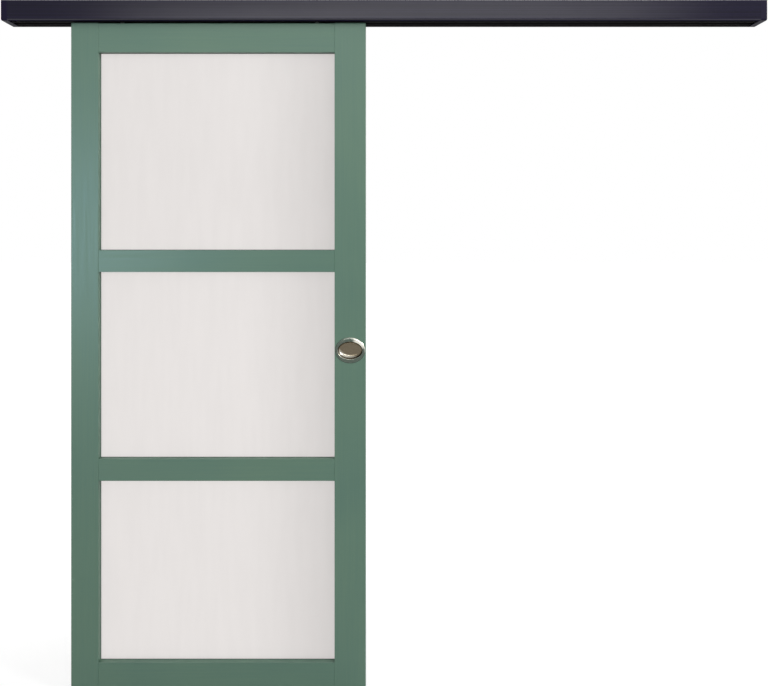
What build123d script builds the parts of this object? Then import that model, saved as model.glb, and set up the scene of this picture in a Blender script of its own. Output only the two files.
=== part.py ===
from build123d import *
import os
from math import cos, radians, sin

# Glazed sliding door: a painted leaf with three frosted panes, hung from a wall track with a pelmet.
# X runs along the track, left to right as seen from the room.  Y runs from the room to the wall.
# Z is up.  The origin is on the floor, below the middle of the track, half-way through its depth.
# All sizes are in millimetres.

# Leaf: outline, frame members and panes
leaf_width = 900.0
leaf_height = 2040.0
leaf_thickness = 44.0
left_stile_width = 84.0
right_stile_width = 95.0
top_rail_height = 89.0
cross_rail_height = 67.0
bottom_rail_height = 86.0
upper_pane_height = 605.0
middle_pane_height = 571.0
edge_radius = 2.0
joint_bevel = 0.6

# Glazing: frosted glass in a soft channel, in a groove half-way through the frame
glass_thickness = 4.0
glass_bite = 10.0
gasket_wall = 1.0
gasket_show = 1.0
groove_relief = 1.0

# Frame joints: stub tenons in the glazing groove, and two dowels at each rail end
tenon_side_clearance = 0.1
tenon_end_clearance = 0.5
dowel_diameter = 10.0
dowel_length = 60.0
dowel_spacing = 26.0
dowel_clearance = 0.05
dowel_end_clearance = 1.0

# Where the leaf hangs
floor_gap = 10.0
wall_gap = 10.0
closed_margin = 184.0

# Wall track: back plate, web and roller channel in one extrusion
track_length = 2280.0
plate_wall = 3.0
web_wall = 3.0
channel_width = 36.0
channel_wall = 2.5
channel_room = 28.0
ledge_wall = 3.0
slot_width = 13.0
hanging_gap = 14.0
channel_leg_gap = 4.0
inner_corner_radius = 1.0
wall_hole_diameter = 5.5
wall_hole_count = 6
wall_hole_pitch = 440.0
wall_hole_above_web = 6.0

# Pelmet: the front cover, hooked over a lip on the track's web
pelmet_overhang = 24.0
pelmet_height = 62.0
pelmet_lift = 2.0
pelmet_wall = 2.0
pelmet_top_radius = 3.5
pelmet_bottom_radius = 5.0
pelmet_return = 11.0
lip_height = 6.0
hook_clearance = 0.2
hook_end_clearance = 1.0

# End caps: hollow mouldings that carry the pelmet's outline on past the track
cap_length = 18.0
cap_end_wall = 3.0
cap_wall = 2.0
cap_spigot_length = 12.0
cap_spigot_clearance = 0.3

# Carriages, wheels and axles
carriage_inset = 150.0
carriage_length = 66.0
carriage_width = 12.0
carriage_bar_height = 16.0
carriage_neck_width = 17.0
carriage_neck_drop = 3.0
carriage_corner_radius = 2.5
wheel_diameter = 22.0
wheel_width = 7.0
wheel_running_gap = 0.3
wheel_side_gap = 0.6
wheel_base = 40.0
wheel_edge = 0.8
wheel_hub_diameter = 10.0
wheel_rim_wall = 2.5
wheel_recess = 1.4
axle_diameter = 5.0
axle_running_clearance = 0.05
axle_seat_clearance = 0.02
axle_head_diameter = 8.0
axle_head_thickness = 1.0
axle_head_gap = 0.3

# Hangers: a plate let into the top rail, a bolt up to the carriage and a lock nut
hanger_plate_length = 80.0
hanger_plate_width = 32.0
hanger_plate_thickness = 4.0
hanger_plate_radius = 4.0
hanger_plate_clearance = 0.3
bolt_diameter = 8.0
bolt_thread_clearance = 0.05
bolt_engagement = 18.0
bolt_tip_bevel = 1.0
hex_across_flats = 13.0
bolt_head_height = 5.3
nut_height = 6.5
keyhole_clearance = 0.3
keyhole_throw = 18.0
head_pocket_width = 18.0
head_pocket_depth = 12.0
plate_screw_spacing_x = 64.0
plate_screw_spacing_y = 18.0
plate_screw_diameter = 4.5
plate_screw_head_diameter = 8.6
plate_screw_head_height = 2.4
plate_screw_length = 35.0
plate_screw_tip = 5.0
screw_clearance = 0.1

# Stops in the channel, each with a rubber buffer and two grub screws
stop_length = 40.0
stop_height = 18.0
stop_side_clearance = 0.8
stop_tongue_clearance = 0.3
stop_tongue_drop = 2.5
stop_bevel = 1.0
stop_screw_diameter = 6.0
stop_screw_spacing = 18.0
stop_screw_clearance = 0.02
stop_screw_lift = 1.5
stop_screw_socket = 3.0
stop_screw_socket_depth = 4.0
buffer_diameter = 10.0
buffer_length = 10.0
buffer_nose_radius = 2.0
buffer_stem_diameter = 4.0
buffer_stem_length = 6.0
buffer_stem_clearance = 0.02
stop_gap = 0.4

# Finger pulls: a dished oval cup with a domed rim, in each face of the right stile
pull_centre_height = 1050.0
pull_length = 92.0
pull_height = 79.0
pull_mouth_length = 75.0
pull_mouth_height = 53.0
pull_rim_rise = 4.0
pull_crest_width = 2.4
pull_mouth_radius = 2.0
pull_cup_depth = 12.0
pull_cup_wall = 1.2
pull_floor_share = 0.4
pull_dish_steps = 5
pull_mortise_clearance = 0.4

# Floor guide and the channel that runs over it
guide_fin_length = 34.0
guide_margin = 16.0
guide_base_length = 64.0
guide_base_width = 30.0
guide_base_thickness = 3.0
guide_base_radius = 6.0
guide_fin_thickness = 6.0
guide_fin_side_clearance = 0.5
guide_fin_top_clearance = 3.0
guide_fin_round = 1.5
guide_foot_radius = 1.5
guide_hole_diameter = 4.5
guide_hole_spacing = 46.0
guide_channel_wall = 1.0
guide_channel_room = 21.0

# Heights
leaf_bottom = floor_gap
leaf_top = leaf_bottom + leaf_height
upper_pane_top = leaf_top - top_rail_height
upper_pane_bottom = upper_pane_top - upper_pane_height
middle_pane_top = upper_pane_bottom - cross_rail_height
middle_pane_bottom = middle_pane_top - middle_pane_height
lower_pane_top = middle_pane_bottom - cross_rail_height
lower_pane_bottom = leaf_bottom + bottom_rail_height
channel_bottom = leaf_top + hanging_gap
ledge_top = channel_bottom + ledge_wall
web_bottom = ledge_top + channel_room
web_top = web_bottom + web_wall
pelmet_bottom = leaf_top + pelmet_lift
pelmet_top = pelmet_bottom + pelmet_height
wheel_radius = wheel_diameter / 2
axle_height = ledge_top + wheel_running_gap + wheel_radius

# Depths
track_depth = pelmet_overhang + leaf_thickness + wall_gap
pelmet_front = -track_depth / 2
wall_face = track_depth / 2
leaf_front = pelmet_front + pelmet_overhang
leaf_back = leaf_front + leaf_thickness
leaf_middle = leaf_front + leaf_thickness / 2

# Lengths along the track
leaf_left = -track_length / 2 + closed_margin
leaf_right = leaf_left + leaf_width
sight_left = leaf_left + left_stile_width
sight_right = leaf_right - right_stile_width
pull_centre = leaf_right - right_stile_width / 2
left_carriage = leaf_left + carriage_inset
right_carriage = leaf_right - carriage_inset
guide_centre = leaf_right - guide_margin - guide_fin_length / 2
travel = leaf_width - guide_fin_length - 2 * guide_margin

# Glazing groove
groove_width = glass_thickness + 2 * gasket_wall
groove_depth = glass_bite + gasket_wall + groove_relief
tenon_thickness = groove_width - 2 * tenon_side_clearance
tenon_length = groove_depth - tenon_end_clearance

# Guide channel let into the leaf's lower edge
guide_channel_width = guide_fin_thickness + 2 * guide_fin_side_clearance + 2 * guide_channel_wall
guide_groove_depth = guide_channel_room + guide_channel_wall

os.makedirs("parts", exist_ok=True)


def keep(piece, name):
    """Labels a finished piece and writes it to parts/ under that name."""
    piece.part.label = name
    export_step(piece.part, f"parts/{name}.step")


def block(low_u, high_u, low_v, high_v, mode=Mode.ADD):
    """A rectangle between two corners of the sketch that is open."""
    with Locations(((low_u + high_u) / 2, (low_v + high_v) / 2)):
        Rectangle(high_u - low_u, high_v - low_v, mode=mode)


def on_front(depth):
    """The upright plane at one depth, seen from the room, with X across and Z up."""
    return Plane.XZ.offset(-depth)


# Frame of the leaf


def dowel_heights(solid_bottom, solid_top):
    """Heights of a rail end's two dowels, about the middle of its ungrooved part."""
    middle = (solid_bottom + solid_top) / 2
    return [middle - dowel_spacing / 2, middle + dowel_spacing / 2]


guide_groove_top = leaf_bottom + guide_groove_depth
top_rail_dowels = dowel_heights(upper_pane_top + groove_depth, leaf_top)
upper_cross_dowels = dowel_heights(middle_pane_top + groove_depth, upper_pane_bottom - groove_depth)
lower_cross_dowels = dowel_heights(lower_pane_top + groove_depth, middle_pane_bottom - groove_depth)
bottom_rail_dowels = dowel_heights(guide_groove_top, lower_pane_bottom - groove_depth)
all_dowels = top_rail_dowels + upper_cross_dowels + lower_cross_dowels + bottom_rail_dowels
dowel_hole_radius = dowel_diameter / 2 + dowel_clearance
dowel_hole_depth = dowel_length / 2 + dowel_end_clearance


def stile(outer, inner):
    """A full-height stile: glazing groove down its inner edge, dowel holes, and the guide groove.

    outer and inner are the places along the track of the leaf's edge and of the sight line.
    """
    inward = 1 if inner > outer else -1
    low, high = min(outer, inner), max(outer, inner)
    with BuildPart() as upright:
        with BuildSketch(Plane.XY.offset(leaf_bottom)) as section:
            block(low, high, leaf_front, leaf_back)
            at_edge = section.vertices().filter_by(lambda v: abs(v.X - outer) < joint_bevel)
            fillet(at_edge, radius=edge_radius)
            at_sight = section.vertices().filter_by(lambda v: abs(v.X - inner) < joint_bevel / 2)
            chamfer(at_sight, length=joint_bevel)
            with Locations((inner - inward * groove_depth / 2, leaf_middle)):
                Rectangle(groove_depth, groove_width, mode=Mode.SUBTRACT)
        extrude(amount=leaf_height)
        with BuildSketch(Plane.YZ.offset(inner)):
            with Locations(*[(leaf_middle, height) for height in all_dowels]):
                Circle(dowel_hole_radius)
        extrude(amount=-inward * dowel_hole_depth, mode=Mode.SUBTRACT)
        with BuildSketch(Plane.YZ.offset(low)):
            with Locations((leaf_middle, leaf_bottom + guide_groove_depth / 2)):
                Rectangle(guide_channel_width, guide_groove_depth)
        extrude(amount=high - low, mode=Mode.SUBTRACT)
    return upright


def rail(bottom, top, dowels, glass_below, glass_above):
    """A rail between the stiles, with stub tenons, dowel holes and a groove towards each pane."""
    with BuildPart() as member:
        with BuildSketch(Plane.YZ.offset(sight_left)) as section:
            block(leaf_front, leaf_back, bottom, top)
            for edge, faces_glass in ((bottom, glass_below), (top, glass_above)):
                corners = section.vertices().filter_by(lambda v: abs(v.Y - edge) < joint_bevel / 2)
                if faces_glass:
                    chamfer(corners, length=joint_bevel)
                else:
                    fillet(corners, radius=edge_radius)
        extrude(amount=sight_right - sight_left)
        ends = member.faces().filter_by(Axis.X)
        upright_ends = ends.edges().filter_by(Axis.Z)
        chamfer(upright_ends, length=joint_bevel)
        with BuildSketch(Plane.YZ.offset(sight_left - tenon_length)):
            with Locations((leaf_middle, (bottom + top) / 2)):
                Rectangle(tenon_thickness, top - bottom)
        extrude(amount=sight_right - sight_left + 2 * tenon_length)
        with BuildSketch(Plane.YZ.offset(sight_left - tenon_length)):
            if glass_below:
                with Locations((leaf_middle, bottom + groove_depth / 2)):
                    Rectangle(groove_width, groove_depth)
            if glass_above:
                with Locations((leaf_middle, top - groove_depth / 2)):
                    Rectangle(groove_width, groove_depth)
        extrude(amount=sight_right - sight_left + 2 * tenon_length, mode=Mode.SUBTRACT)
        for shoulder, inward in ((sight_left, 1), (sight_right, -1)):
            with BuildSketch(Plane.YZ.offset(shoulder - inward * tenon_length)):
                with Locations(*[(leaf_middle, height) for height in dowels]):
                    Circle(dowel_hole_radius)
            extrude(amount=inward * (tenon_length + dowel_hole_depth), mode=Mode.SUBTRACT)
    return member


mouth_half_length = pull_mouth_length / 2
mouth_half_height = pull_mouth_height / 2
cup_half_length = mouth_half_length + pull_cup_wall
cup_half_height = mouth_half_height + pull_cup_wall
mortise_half_length = cup_half_length + pull_mortise_clearance
mortise_half_height = cup_half_height + pull_mortise_clearance
mortise_depth = pull_cup_depth + pull_cup_wall + pull_mortise_clearance

left_stile = stile(leaf_left, sight_left)
keep(left_stile, "left_stile")

plain_right_stile = stile(leaf_right, sight_right)
with BuildPart() as right_stile:
    add(plain_right_stile.part)
    for face_depth, inward in ((leaf_front, 1), (leaf_back, -1)):
        with BuildSketch(on_front(face_depth)):
            with Locations((pull_centre, pull_centre_height)):
                Ellipse(mortise_half_length, mortise_half_height)
        extrude(amount=-inward * mortise_depth, mode=Mode.SUBTRACT)
keep(right_stile, "right_stile")

plate_seat = leaf_top - hanger_plate_thickness
carriages = {"left": left_carriage, "right": right_carriage}
keyhole_side = {"left": 1, "right": -1}

plain_top_rail = rail(upper_pane_top, leaf_top, top_rail_dowels, glass_below=True, glass_above=False)
with BuildPart() as top_rail:
    add(plain_top_rail.part)
    for side, centre in carriages.items():
        with BuildSketch(Plane.XY.offset(plate_seat)):
            with Locations((centre, leaf_middle)):
                RectangleRounded(
                    hanger_plate_length + 2 * hanger_plate_clearance,
                    hanger_plate_width + 2 * hanger_plate_clearance,
                    hanger_plate_radius,
                )
        extrude(amount=hanger_plate_thickness, mode=Mode.SUBTRACT)
        with BuildSketch(Plane.XY.offset(plate_seat)):
            with Locations((centre + keyhole_side[side] * keyhole_throw / 2, leaf_middle)):
                SlotCenterToCenter(keyhole_throw, head_pocket_width)
        extrude(amount=-head_pocket_depth, mode=Mode.SUBTRACT)
        with BuildSketch(Plane.XY.offset(plate_seat)):
            with Locations((centre, leaf_middle)):
                with GridLocations(plate_screw_spacing_x, plate_screw_spacing_y, 2, 2):
                    Circle(plate_screw_diameter / 2 + screw_clearance)
        extrude(amount=-plate_screw_length, mode=Mode.SUBTRACT)
keep(top_rail, "top_rail")

upper_cross_rail = rail(
    middle_pane_top, upper_pane_bottom, upper_cross_dowels, glass_below=True, glass_above=True
)
keep(upper_cross_rail, "upper_cross_rail")

lower_cross_rail = rail(
    lower_pane_top, middle_pane_bottom, lower_cross_dowels, glass_below=True, glass_above=True
)
keep(lower_cross_rail, "lower_cross_rail")

plain_bottom_rail = rail(
    leaf_bottom, lower_pane_bottom, bottom_rail_dowels, glass_below=False, glass_above=True
)
with BuildPart() as bottom_rail:
    add(plain_bottom_rail.part)
    with BuildSketch(Plane.YZ.offset(sight_left - tenon_length)):
        with Locations((leaf_middle, leaf_bottom + guide_groove_depth / 2)):
            Rectangle(guide_channel_width, guide_groove_depth)
    extrude(amount=sight_right - sight_left + 2 * tenon_length, mode=Mode.SUBTRACT)
keep(bottom_rail, "bottom_rail")

with BuildPart() as rail_dowels:
    for shoulder in (sight_left, sight_right):
        with BuildSketch(Plane.YZ.offset(shoulder - dowel_length / 2)):
            with Locations(*[(leaf_middle, height) for height in all_dowels]):
                Circle(dowel_diameter / 2)
        extrude(amount=dowel_length)
keep(rail_dowels, "rail_dowels")

# Glass and its soft edge channel

sight_width = sight_right - sight_left
sight_centre = (sight_left + sight_right) / 2
panes = {
    "upper": (upper_pane_bottom, upper_pane_top),
    "middle": (middle_pane_bottom, middle_pane_top),
    "lower": (lower_pane_bottom, lower_pane_top),
}


for name, (low, high) in panes.items():
    pane_centre = (sight_centre, (low + high) / 2)
    with BuildPart() as glass:
        with BuildSketch(on_front(leaf_middle + glass_thickness / 2)):
            with Locations(pane_centre):
                Rectangle(sight_width + 2 * glass_bite, high - low + 2 * glass_bite)
        extrude(amount=glass_thickness)
    keep(glass, f"{name}_glass")

    with BuildPart() as gasket:
        outer_reach = 2 * (glass_bite + gasket_wall)
        with BuildSketch(on_front(leaf_middle + groove_width / 2)):
            with Locations(pane_centre):
                Rectangle(sight_width + outer_reach, high - low + outer_reach)
                Rectangle(
                    sight_width - 2 * gasket_show,
                    high - low - 2 * gasket_show,
                    mode=Mode.SUBTRACT,
                )
        extrude(amount=groove_width)
        add(glass.part, mode=Mode.SUBTRACT)
    keep(gasket, f"{name}_gasket")

# Finger pulls


def dished(face, reach, wide, narrow):
    """An oval form that leaves the upright plane at face squarely and curves in to a flat end.

    reach is its signed depth. wide and narrow are the half sizes at the face and at the flat end.
    """
    with BuildPart() as dish:
        for step in range(pull_dish_steps + 1):
            turn = radians(90 * step / pull_dish_steps)
            half_length, half_height = [n + (w - n) * cos(turn) for w, n in zip(wide, narrow)]
            with BuildSketch(on_front(face + reach * sin(turn))):
                with Locations((pull_centre, pull_centre_height)):
                    Ellipse(half_length, half_height)
        loft()
    return dish


def finger_pull(face_depth, outward):
    """A dished cup with a domed rim. outward is the way out of the face, -1 to the room."""
    mouth = (mouth_half_length, mouth_half_height)
    floor = [pull_floor_share * half for half in mouth]
    rim = dished(
        face_depth,
        outward * pull_rim_rise,
        (pull_length / 2, pull_height / 2),
        [half + pull_crest_width for half in mouth],
    )
    shell = dished(
        face_depth,
        -outward * (pull_cup_depth + pull_cup_wall),
        (cup_half_length, cup_half_height),
        [half + pull_cup_wall for half in floor],
    )
    hollow = dished(face_depth, -outward * pull_cup_depth, mouth, floor)
    crest = face_depth + outward * pull_rim_rise
    with BuildPart() as pull:
        add(rim.part)
        add(shell.part)
        with BuildSketch(on_front(crest)):
            with Locations((pull_centre, pull_centre_height)):
                Ellipse(mouth_half_length, mouth_half_height)
        extrude(amount=outward * pull_rim_rise, mode=Mode.SUBTRACT)
        add(hollow.part, mode=Mode.SUBTRACT)
        at_crest = pull.edges().filter_by(lambda e: abs(e.center().Y - crest) < pull_cup_wall / 2)
        fillet(at_crest.sort_by(SortBy.LENGTH)[0], radius=pull_mouth_radius)
    return pull


front_pull = finger_pull(leaf_front, -1)
keep(front_pull, "front_pull")

back_pull = finger_pull(leaf_back, 1)
keep(back_pull, "back_pull")

# Wall track

lip_front = pelmet_front + pelmet_wall + hook_clearance
channel_front = leaf_middle - channel_width / 2
channel_back = leaf_middle + channel_width / 2
leg_bottom = leaf_top + channel_leg_gap
wall_hole_height = web_top + wall_hole_above_web

with BuildPart() as track:
    with BuildSketch(Plane.YZ.offset(-track_length / 2)) as section:
        block(wall_face - plate_wall, wall_face, pelmet_bottom, pelmet_top - pelmet_wall)
        block(lip_front, wall_face, web_bottom, web_top)
        block(lip_front, lip_front + pelmet_wall, web_bottom, web_top + lip_height)
        block(channel_front, channel_back, channel_bottom, web_top)
        block(channel_front, channel_front + channel_wall, leg_bottom, channel_bottom)
        block(channel_back - channel_wall, channel_back, leg_bottom, channel_bottom)
        block(
            channel_front + channel_wall,
            channel_back - channel_wall,
            ledge_top,
            web_bottom,
            mode=Mode.SUBTRACT,
        )
        block(
            leaf_middle - slot_width / 2,
            leaf_middle + slot_width / 2,
            channel_bottom,
            ledge_top,
            mode=Mode.SUBTRACT,
        )
        inside = section.vertices().filter_by(
            lambda v: channel_front + channel_wall / 2 < v.X < channel_back - channel_wall / 2
            and web_bottom - channel_wall < v.Y < web_bottom + channel_wall
        )
        fillet(inside, radius=inner_corner_radius)
    extrude(amount=track_length)
    with BuildSketch(on_front(wall_face)):
        with Locations((0, wall_hole_height)):
            with GridLocations(wall_hole_pitch, 1, wall_hole_count, 1):
                Circle(wall_hole_diameter / 2)
    extrude(amount=plate_wall, mode=Mode.SUBTRACT)
keep(track, "track")

# Pelmet


def rounded_front(inset):
    """A section drawn inside the pelmet's outline by inset, open to the wall, with a rounded front."""
    with BuildSketch() as outline:
        block(pelmet_front + inset, wall_face, pelmet_bottom + inset, pelmet_top - inset)
        fillet(outline.vertices().group_by(Axis.X)[0].sort_by(Axis.Y)[0], pelmet_bottom_radius - inset)
        fillet(outline.vertices().group_by(Axis.Y)[-1].sort_by(Axis.X)[0], pelmet_top_radius - inset)
    return outline.sketch


hook_front = lip_front + pelmet_wall + hook_clearance
pelmet_outside = rounded_front(0)
pelmet_inside = rounded_front(pelmet_wall)

with BuildPart() as pelmet:
    with BuildSketch(Plane.YZ.offset(-track_length / 2)):
        add(pelmet_outside)
        add(pelmet_inside, mode=Mode.SUBTRACT)
        block(
            pelmet_front + pelmet_return,
            wall_face,
            pelmet_bottom,
            pelmet_bottom + pelmet_wall,
            mode=Mode.SUBTRACT,
        )
        block(hook_front, hook_front + pelmet_wall, web_top + hook_end_clearance, pelmet_top - pelmet_wall)
    extrude(amount=track_length)
keep(pelmet, "pelmet")

# End caps

spigot_front = channel_front + channel_wall + cap_spigot_clearance
spigot_back = channel_back - channel_wall - cap_spigot_clearance
spigot_bottom = ledge_top + cap_spigot_clearance
spigot_top = web_bottom - cap_spigot_clearance
cap_hollow_radius = pelmet_top_radius - cap_wall

for side, inward in (("left", 1), ("right", -1)):
    track_end = -inward * track_length / 2
    cap_end = track_end - inward * cap_length
    with BuildPart() as end_cap:
        with BuildSketch(Plane.YZ.offset(cap_end)):
            add(pelmet_outside)
        extrude(amount=inward * cap_length)
        with BuildSketch(Plane.YZ.offset(cap_end + inward * cap_end_wall)) as hollow:
            block(
                pelmet_front + cap_wall,
                wall_face - cap_wall,
                pelmet_bottom + cap_wall,
                pelmet_top - cap_wall,
            )
            front_corners = hollow.vertices().group_by(Axis.X)[0]
            fillet(front_corners, radius=cap_hollow_radius)
        extrude(amount=inward * cap_length, mode=Mode.SUBTRACT)
        with BuildSketch(Plane.YZ.offset(cap_end + inward * cap_end_wall)):
            block(spigot_front, spigot_back, spigot_bottom, spigot_top)
            block(
                spigot_front + cap_wall,
                spigot_back - cap_wall,
                spigot_bottom + cap_wall,
                spigot_top - cap_wall,
                mode=Mode.SUBTRACT,
            )
        extrude(amount=inward * (cap_length - cap_end_wall + cap_spigot_length))
    keep(end_cap, f"end_cap_{side}")

# Stops, buffers and grub screws

stop_half_width = channel_width / 2 - channel_wall - stop_side_clearance
tongue_half_width = slot_width / 2 - stop_tongue_clearance
buffer_height = ledge_top + stop_height / 2
stops = {
    "left": (left_carriage - carriage_length / 2 - stop_gap, -1),
    "right": (right_carriage + carriage_length / 2 + travel + stop_gap, 1),
}


def stop_screw_places(face, away):
    """Places along the track of a stop's two grub screws. away is the way from the carriage."""
    middle = face + away * (buffer_length + stop_length / 2)
    return [middle - stop_screw_spacing / 2, middle + stop_screw_spacing / 2]


for side, (face, away) in stops.items():
    near_end = face + away * buffer_length
    with BuildPart() as stop:
        with BuildSketch(Plane.YZ.offset(near_end)) as section:
            block(
                leaf_middle - stop_half_width,
                leaf_middle + stop_half_width,
                ledge_top,
                ledge_top + stop_height,
            )
            upper_corners = section.vertices().group_by(Axis.Y)[-1]
            chamfer(upper_corners, length=stop_bevel)
            block(
                leaf_middle - tongue_half_width,
                leaf_middle + tongue_half_width,
                ledge_top - stop_tongue_drop,
                ledge_top,
            )
        extrude(amount=away * stop_length)
        with BuildSketch(Plane.XY.offset(ledge_top - stop_tongue_drop)):
            with Locations(*[(place, leaf_middle) for place in stop_screw_places(face, away)]):
                Circle(stop_screw_diameter / 2 + stop_screw_clearance)
        extrude(amount=stop_tongue_drop + stop_height, mode=Mode.SUBTRACT)
        with BuildSketch(Plane.YZ.offset(near_end)):
            with Locations((leaf_middle, buffer_height)):
                Circle(buffer_stem_diameter / 2 + buffer_stem_clearance)
        extrude(amount=away * buffer_stem_length, mode=Mode.SUBTRACT)
    keep(stop, f"stop_{side}")

    with BuildPart() as stop_buffer:
        with BuildSketch(Plane.YZ.offset(face)):
            with Locations((leaf_middle, buffer_height)):
                Circle(buffer_diameter / 2)
        extrude(amount=away * buffer_length)
        nose = stop_buffer.faces().sort_by(Axis.X)[0 if away > 0 else -1]
        fillet(nose.edges(), radius=buffer_nose_radius)
        with BuildSketch(Plane.YZ.offset(near_end)):
            with Locations((leaf_middle, buffer_height)):
                Circle(buffer_stem_diameter / 2)
        extrude(amount=away * buffer_stem_length)
    keep(stop_buffer, f"stop_buffer_{side}")

screw_places = [place for face, away in stops.values() for place in stop_screw_places(face, away)]
stop_screw_bottom = ledge_top + stop_screw_lift

with BuildPart() as stop_screws:
    with BuildSketch(Plane.XY.offset(stop_screw_bottom)):
        with Locations(*[(place, leaf_middle) for place in screw_places]):
            Circle(stop_screw_diameter / 2)
    extrude(amount=web_bottom - stop_screw_bottom)
    with BuildSketch(Plane.XY.offset(stop_screw_bottom)):
        with Locations(*[(place, leaf_middle) for place in screw_places]):
            RegularPolygon(stop_screw_socket / 2, 6, major_radius=False)
    extrude(amount=stop_screw_socket_depth, mode=Mode.SUBTRACT)
keep(stop_screws, "stop_screws")

# Carriages

neck_bottom = channel_bottom - carriage_neck_drop
bar_top = axle_height + carriage_bar_height / 2
bolt_top = neck_bottom + bolt_engagement

for side, centre in carriages.items():
    with BuildPart() as carriage:
        with BuildSketch(on_front(leaf_middle + carriage_width / 2)) as side_view:
            with Locations((centre, axle_height)):
                SlotOverall(carriage_length, carriage_bar_height)
            block(
                centre - carriage_neck_width / 2,
                centre + carriage_neck_width / 2,
                neck_bottom,
                bar_top,
            )
            inner_corners = side_view.vertices().filter_by(
                lambda v: abs(v.Y - (axle_height - carriage_bar_height / 2)) < joint_bevel
                and abs(abs(v.X - centre) - carriage_neck_width / 2) < joint_bevel
            )
            fillet(inner_corners, radius=carriage_corner_radius)
            with Locations((centre, axle_height)):
                with GridLocations(wheel_base, 1, 2, 1):
                    Circle(axle_diameter / 2 + axle_seat_clearance, mode=Mode.SUBTRACT)
        extrude(amount=carriage_width)
        with BuildSketch(Plane.XY.offset(neck_bottom)):
            with Locations((centre, leaf_middle)):
                Circle(bolt_diameter / 2 + bolt_thread_clearance)
        extrude(amount=bolt_engagement, mode=Mode.SUBTRACT)
    keep(carriage, f"carriage_{side}")

# Axles

axle_places = [
    centre + offset for centre in carriages.values() for offset in (-wheel_base / 2, wheel_base / 2)
]
wheel_inner = carriage_width / 2 + wheel_side_gap
wheel_outer = wheel_inner + wheel_width
axle_half = wheel_outer + axle_head_gap

with BuildPart() as axles:
    with BuildSketch(on_front(leaf_middle + axle_half)):
        with Locations(*[(place, axle_height) for place in axle_places]):
            Circle(axle_diameter / 2)
    extrude(amount=2 * axle_half)
    for end, outward in ((leaf_middle - axle_half, 1), (leaf_middle + axle_half, -1)):
        with BuildSketch(on_front(end)):
            with Locations(*[(place, axle_height) for place in axle_places]):
                Circle(axle_head_diameter / 2)
        extrude(amount=outward * axle_head_thickness)
keep(axles, "axles")

# Wheels

rim_inner = wheel_radius - wheel_rim_wall
hub_radius = wheel_hub_diameter / 2
bore_radius = axle_diameter / 2 + axle_running_clearance


def wheel(along, near):
    """A flat-treaded wheel on one axle. near is the depth of its side nearest the room."""
    axle_line = Axis((along, leaf_middle, axle_height), (0, 1, 0))
    section_plane = Plane(origin=(along, near, axle_height), x_dir=(0, 0, 1), z_dir=(-1, 0, 0))
    with BuildPart() as roller:
        with BuildSketch(section_plane) as section:
            block(bore_radius, wheel_radius, 0, wheel_width)
            tread_corners = section.vertices().group_by(Axis.X)[-1]
            chamfer(tread_corners, length=wheel_edge)
            block(hub_radius, rim_inner, 0, wheel_recess, mode=Mode.SUBTRACT)
            block(hub_radius, rim_inner, wheel_width - wheel_recess, wheel_width, mode=Mode.SUBTRACT)
        revolve(axis=axle_line)
    return roller


for side, centre in carriages.items():
    outer_way = -1 if side == "left" else 1
    for row, way in (("outer", outer_way), ("inner", -outer_way)):
        along = centre + way * wheel_base / 2
        for face, near in (("front", leaf_middle - wheel_outer), ("back", leaf_middle + wheel_inner)):
            keep(wheel(along, near), f"{side}_{row}_{face}_wheel")

# Hanger plates, bolts, nuts and screws

screw_half = plate_screw_diameter / 2
screw_head_half = plate_screw_head_diameter / 2

for side, centre in carriages.items():
    big_hole = centre + keyhole_side[side] * keyhole_throw
    with BuildPart() as hanger_plate:
        with BuildSketch(Plane.XY.offset(plate_seat)):
            with Locations((centre, leaf_middle)):
                RectangleRounded(hanger_plate_length, hanger_plate_width, hanger_plate_radius)
            slot_centre = (centre + big_hole) / 2
            with Locations((slot_centre, leaf_middle)):
                SlotCenterToCenter(
                    keyhole_throw, bolt_diameter + 2 * keyhole_clearance, mode=Mode.SUBTRACT
                )
            with Locations((big_hole, leaf_middle)):
                Circle(hex_across_flats / 3**0.5 + keyhole_clearance, mode=Mode.SUBTRACT)
        extrude(amount=hanger_plate_thickness)
        with Locations((centre, leaf_middle, leaf_top)):
            with GridLocations(plate_screw_spacing_x, plate_screw_spacing_y, 2, 2):
                CounterSinkHole(
                    screw_half + screw_clearance,
                    screw_head_half + screw_clearance,
                    counter_sink_angle=82,
                )
    keep(hanger_plate, f"hanger_plate_{side}")

    with BuildPart() as hanger_bolt:
        with BuildSketch(Plane.XY.offset(plate_seat - bolt_head_height)):
            with Locations((centre, leaf_middle)):
                RegularPolygon(hex_across_flats / 2, 6, major_radius=False)
        extrude(amount=bolt_head_height)
        with BuildSketch(Plane.XY.offset(plate_seat)):
            with Locations((centre, leaf_middle)):
                Circle(bolt_diameter / 2)
        extrude(amount=bolt_top - plate_seat)
        tip = hanger_bolt.faces().sort_by(Axis.Z)[-1]
        chamfer(tip.edges(), length=bolt_tip_bevel)
    keep(hanger_bolt, f"hanger_bolt_{side}")

with BuildPart() as lock_nuts:
    with BuildSketch(Plane.XY.offset(leaf_top)):
        with Locations((left_carriage, leaf_middle), (right_carriage, leaf_middle)):
            RegularPolygon(hex_across_flats / 2, 6, major_radius=False)
            Circle(bolt_diameter / 2 + bolt_thread_clearance, mode=Mode.SUBTRACT)
    extrude(amount=nut_height)
keep(lock_nuts, "lock_nuts")

with BuildPart() as plate_screw:
    with BuildSketch(Plane.XZ):
        with BuildLine():
            Polyline(
                (0, 0),
                (screw_head_half, 0),
                (screw_half, -plate_screw_head_height),
                (screw_half, plate_screw_tip - plate_screw_length),
                (0, -plate_screw_length),
                close=True,
            )
        make_face()
    revolve(axis=Axis.Z)

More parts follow.
